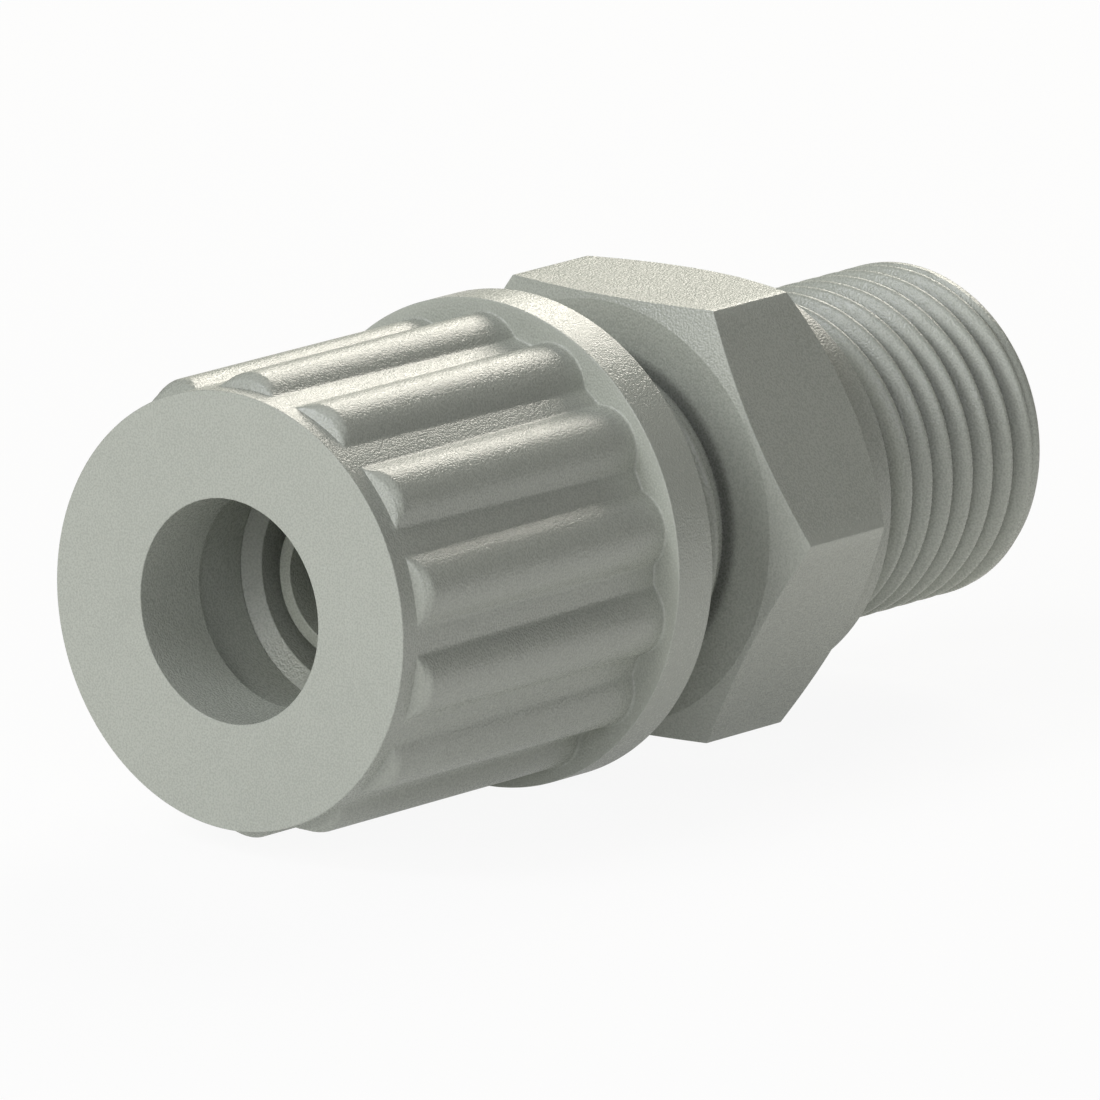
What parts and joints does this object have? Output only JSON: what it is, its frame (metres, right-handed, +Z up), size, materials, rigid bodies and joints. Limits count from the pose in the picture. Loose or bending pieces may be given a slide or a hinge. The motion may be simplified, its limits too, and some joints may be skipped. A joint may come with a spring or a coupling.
{
  "type": "straight hose fitting",
  "caption": "Straight male connector for a soft hose in grey plastic: hexagon body with a parallel pipe thread, clamp ring and ribbed union nut.",
  "frame": {"origin": "On the fitting's axis, half way between the union nut's front face and the end of the pipe thread.", "axes": "+X runs along the axis from the hose side to the port side. +Z is up, square to the top flat of the hexagon. +Y completes a right-handed frame."},
  "size_m": [0.0414, 0.0196, 0.0188],
  "materials": {
    "body_plastic": "satin moulded plastic with a fine grain",
    "ring_plastic": "satin moulded plastic with a fine grain",
    "nut_plastic": "satin moulded plastic with a fine grain"
  },
  "bodies": {
    "stem": {"body": "body_plastic"},
    "ring": {"clamp_ring": "ring_plastic"},
    "nut": {"union_nut": "nut_plastic"}
  },
  "joints": [
    {"name": "ring_travel", "type": "slide", "parent": "stem", "child": "ring", "axis": [1, 0, 0], "range_m": [-0.00376, 0.00126]},
    {"name": "nut_turn", "type": "hinge", "parent": "ring", "child": "nut", "pos_m": [0, 0, 0], "axis": [1, 0, 0], "range_deg": [-1080, 360]}
  ],
  "couplings": [
    {"joint": "ring_travel", "follows": "nut_turn", "m_per_rad": 0.00019894}
  ]
}
